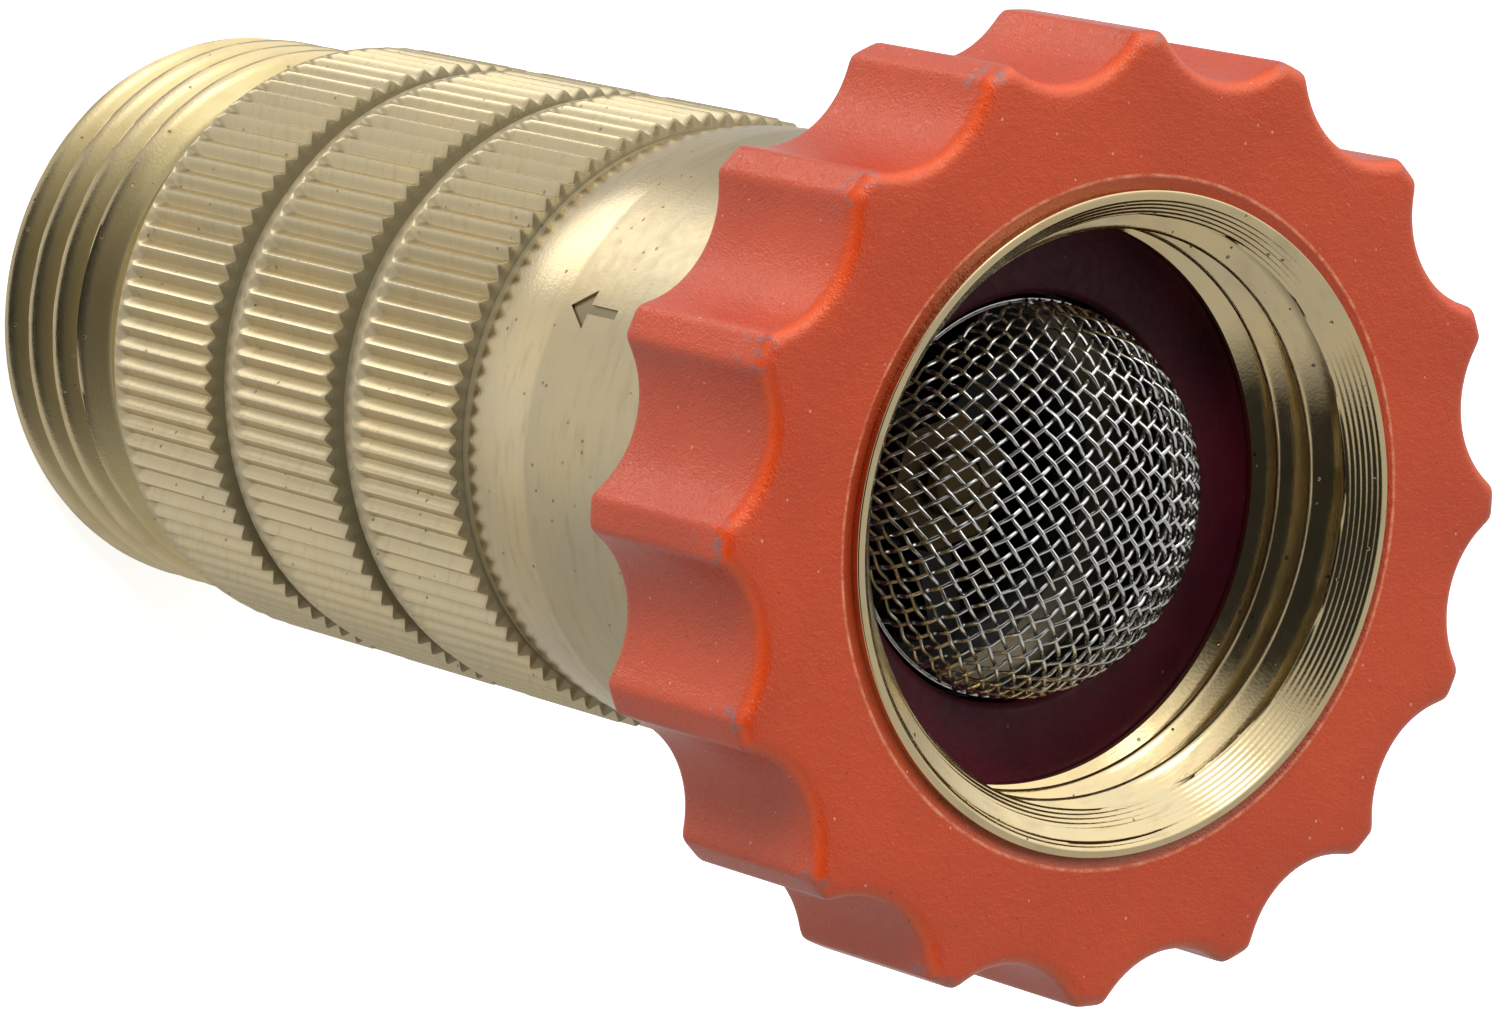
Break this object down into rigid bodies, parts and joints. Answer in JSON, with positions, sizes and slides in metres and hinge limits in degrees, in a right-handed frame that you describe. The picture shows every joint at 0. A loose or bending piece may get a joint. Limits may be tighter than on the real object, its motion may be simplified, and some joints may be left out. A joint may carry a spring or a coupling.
{
  "type": "water pressure regulator",
  "caption": "Inline brass water pressure regulator with a ribbed body, male hose thread outlet, and a swivel inlet nut with a lobed plastic grip and a domed strainer.",
  "frame": {"origin": "centre of the outlet end face, on the flow axis", "axes": "+Z along the axis from the outlet (male thread) to the inlet (swivel nut); +X and +Y square to it, -Y towards the side seen in the main view"},
  "size_m": [0.0414, 0.0414, 0.0712],
  "materials": {
    "brass_body": "satin",
    "brass_nut": "satin",
    "brass_inner": "satin",
    "stainless": "satin",
    "spring_steel": "polished",
    "screen_steel": "polished",
    "acetal": "satin",
    "ptfe": "matte",
    "o_ring_rubber": "satin",
    "seat_rubber": "matte",
    "maroon_rubber": "matte",
    "orange_plastic": "satin"
  },
  "bodies": {
    "housing": {"outlet_body": "brass_body", "inlet_body": "brass_body", "body_o_ring": "o_ring_rubber", "stem_o_ring": "o_ring_rubber", "gland_retainer": "acetal", "main_spring": "spring_steel", "preload_shim": "stainless", "spring_seat_washer": "brass_inner", "seat_spider": "acetal", "seat_holder": "brass_inner", "seat_disc": "seat_rubber", "seat_nut": "brass_inner", "spider_clip": "spring_steel"},
    "piston": {"piston_head": "brass_inner", "piston_stem": "stainless", "piston_o_ring": "o_ring_rubber", "piston_guide_ring": "ptfe"},
    "nut_carrier": {"nut_retaining_ring": "spring_steel"},
    "swivel_nut": {"nut_insert": "brass_nut", "nut_grip": "orange_plastic", "inlet_washer": "maroon_rubber", "inlet_screen": "screen_steel"}
  },
  "joints": [
    {"name": "piston_slide", "type": "slide", "parent": "housing", "child": "piston", "axis": [0, 0, 1], "range_m": [0, 0.0024], "stiffness_N_per_m": 4500, "springref_m": -0.008, "deforming": ["main_spring"]},
    {"name": "nut_float", "type": "slide", "parent": "housing", "child": "nut_carrier", "axis": [0, 0, 1], "range_m": [0, 0.0008]},
    {"name": "nut_swivel", "type": "hinge", "parent": "nut_carrier", "child": "swivel_nut", "pos_m": [0, 0, 0.064], "axis": [0, 0, 1], "continuous": true}
  ]
}
